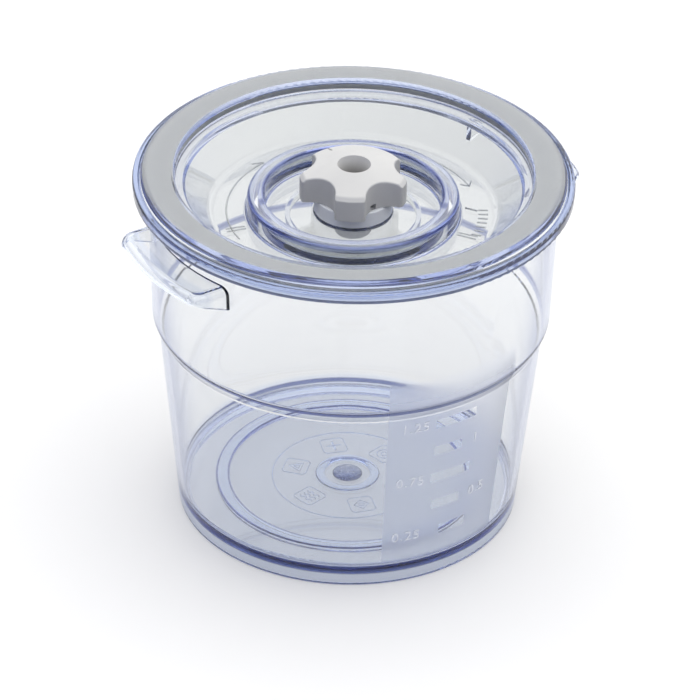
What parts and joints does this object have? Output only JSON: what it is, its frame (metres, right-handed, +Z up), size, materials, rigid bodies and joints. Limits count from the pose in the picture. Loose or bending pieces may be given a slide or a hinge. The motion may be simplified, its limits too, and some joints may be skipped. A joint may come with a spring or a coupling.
{
  "type": "vacuum seal canister",
  "caption": "Round clear plastic vacuum food canister with a stepped wall, tray handles, dished lift-off lid, grey gasket and a scalloped valve knob.",
  "frame": {"origin": "on the table plane, at the middle of the foot", "axes": "+Z up along the axis of the canister; the two handles lie along X; the graduated side of the wall faces -Y"},
  "size_m": [0.1984, 0.182, 0.1606],
  "materials": {
    "clear_body": "clear bluish glossy moulded plastic with a frosted graduation panel",
    "clear_lid": "clear bluish glossy moulded plastic",
    "gasket": "grey satin silicone",
    "knob": "warm light grey satin plastic",
    "seal": "grey silicone",
    "cap": "warm light grey satin plastic"
  },
  "bodies": {
    "canister": {"canister_body": "clear_body"},
    "lid": {"lid_shell": "clear_lid", "lid_gasket": "gasket"},
    "knob": {"control_knob": "knob", "valve_seal": "seal", "stem_o_ring": "seal", "retaining_cap": "cap"},
    "check_valve": {"check_valve_disc": "seal"}
  },
  "joints": [
    {"name": "lid_lift", "type": "slide", "parent": "canister", "child": "lid", "axis": [0, 0, 1], "range_m": [0, 0.06]},
    {"name": "knob_turn", "type": "hinge", "parent": "lid", "child": "knob", "pos_m": [0, 0, 0.1465], "axis": [0, 0, 1], "range_deg": [-45, 45]},
    {"name": "valve_lift", "type": "slide", "parent": "knob", "child": "check_valve", "axis": [0, 0, 1], "range_m": [0, 0.0012]}
  ]
}
